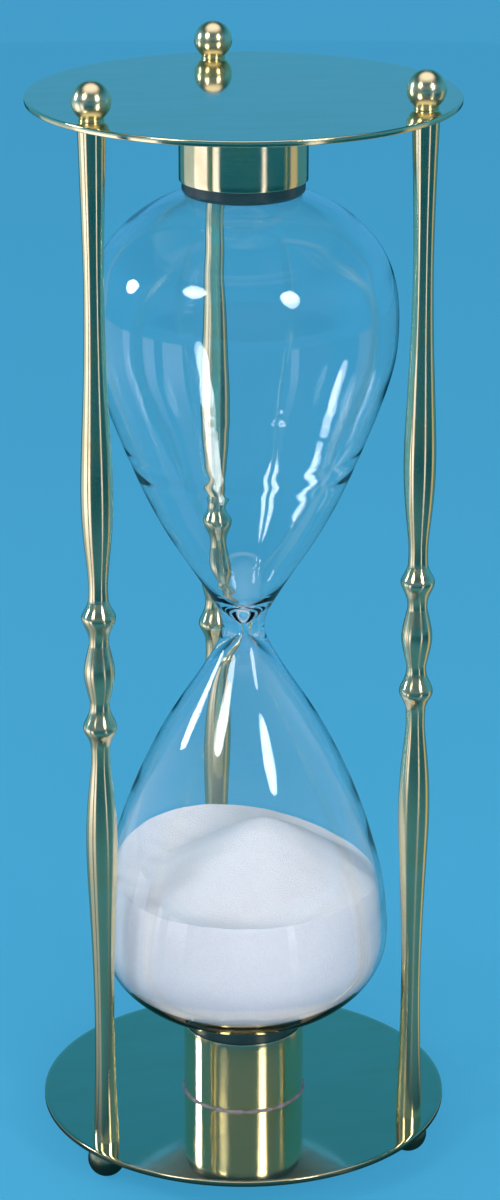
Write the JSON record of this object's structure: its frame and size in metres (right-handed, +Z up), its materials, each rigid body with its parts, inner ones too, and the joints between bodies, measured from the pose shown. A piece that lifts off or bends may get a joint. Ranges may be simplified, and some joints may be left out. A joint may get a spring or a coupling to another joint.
{
  "type": "hourglass",
  "caption": "Tall brass hourglass: a waisted glass with white sand, held in rubber-lined cups between round mirror-polished plates on turned pillars with ball finials.",
  "frame": {"origin": "middle of the footprint, on the floor under the ball feet", "axes": "+Z up along the glass's axis; +Y towards the rear pillar, and the front lies towards -Y"},
  "size_m": [0.112, 0.112, 0.3033],
  "materials": {
    "polished_brass": "mirror polish, lacquered",
    "stud_steel": "plain cut thread",
    "black_rubber": "smooth moulded",
    "clear_glass": "clear, hand blown",
    "white_sand": "fine dry grains",
    "cork": "natural cork"
  },
  "bodies": {
    "root": {"bottom_plate": "polished_brass", "filling_stopper": "cork", "glass_bulbs": "clear_glass", "lower_cup": "polished_brass", "lower_cushion": "black_rubber", "lower_finial_front_left": "polished_brass", "lower_finial_front_right": "polished_brass", "lower_finial_rear": "polished_brass", "lower_stud_front_left": "stud_steel", "lower_stud_front_right": "stud_steel", "lower_stud_rear": "stud_steel", "pillar_front_left": "polished_brass", "pillar_front_right": "polished_brass", "pillar_rear": "polished_brass", "sand": "white_sand", "top_plate": "polished_brass", "upper_cup": "polished_brass", "upper_cushion": "black_rubber", "upper_finial_front_left": "polished_brass", "upper_finial_front_right": "polished_brass", "upper_finial_rear": "polished_brass", "upper_stud_front_left": "stud_steel", "upper_stud_front_right": "stud_steel", "upper_stud_rear": "stud_steel"}
  },
  "joints": []
}
